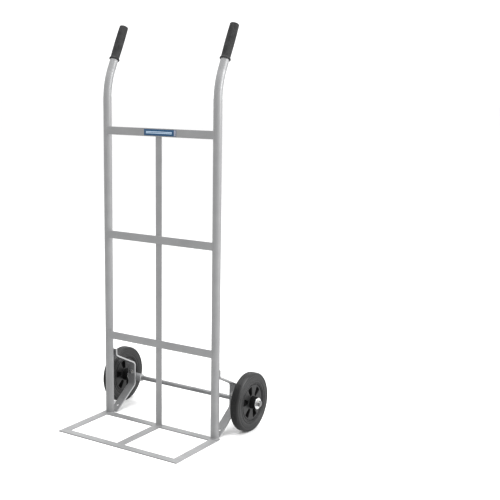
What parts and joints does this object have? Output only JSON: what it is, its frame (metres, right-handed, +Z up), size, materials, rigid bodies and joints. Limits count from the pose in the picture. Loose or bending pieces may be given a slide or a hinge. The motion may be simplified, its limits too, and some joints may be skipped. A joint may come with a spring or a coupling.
{
  "type": "hand truck",
  "caption": "Upright two-wheeled hand truck with a welded tube frame, flat crossbars, an open flat-bar toe frame, bent handles with rubber grips and spoked solid-tyre wheels.",
  "frame": {"origin": "on the floor, under the toe frame's rear bar, at mid-width in line with the side rails", "axes": "+X right along the axle, -Y forward along the toe, +Z up"},
  "size_m": [0.6382, 0.4946, 1.3668],
  "materials": {
    "frame_paint": "satin silver-grey powder coat",
    "grip_rubber": "matt moulded rubber with fine lengthwise ribs",
    "axle_steel": "drawn steel bar, dull grey",
    "zinc": "bright zinc plating",
    "label": "semi-gloss blue plate with plain light stripes",
    "tyre": "dark grey solid rubber with fine moulding lines",
    "rim_plastic": "black moulded plastic",
    "bush": "plain nylon"
  },
  "bodies": {
    "frame": {"rail_left": "frame_paint", "rail_right": "frame_paint", "grip_left": "grip_rubber", "grip_right": "grip_rubber", "crossbar_top": "frame_paint", "crossbar_middle": "frame_paint", "crossbar_lower": "frame_paint", "centre_bar": "frame_paint", "toe_front_bar": "frame_paint", "toe_rear_bar": "frame_paint", "toe_left_bar": "frame_paint", "toe_right_bar": "frame_paint", "toe_centre_bar": "frame_paint", "wheel_bracket_left": "frame_paint", "wheel_bracket_right": "frame_paint", "axle": "axle_steel", "axle_lug_left": "frame_paint", "axle_lug_right": "frame_paint", "lug_bolts": "zinc", "lug_bolt_washers": "zinc", "lug_nuts": "zinc", "inner_axle_washers": "zinc", "outer_axle_washers": "zinc", "axle_end_nuts": "zinc", "label_plate": "label"},
    "wheel_left": {"tyre_left": "tyre", "rim_left": "rim_plastic", "hub_bushes_left": "bush"},
    "wheel_right": {"tyre_right": "tyre", "rim_right": "rim_plastic", "hub_bushes_right": "bush"}
  },
  "joints": [
    {"name": "wheel_left_spin", "type": "hinge", "parent": "frame", "child": "wheel_left", "pos_m": [-0.2726, 0.139, 0.1016], "axis": [1, 0, 0], "continuous": true},
    {"name": "wheel_right_spin", "type": "hinge", "parent": "frame", "child": "wheel_right", "pos_m": [0.2726, 0.139, 0.1016], "axis": [1, 0, 0], "continuous": true}
  ]
}
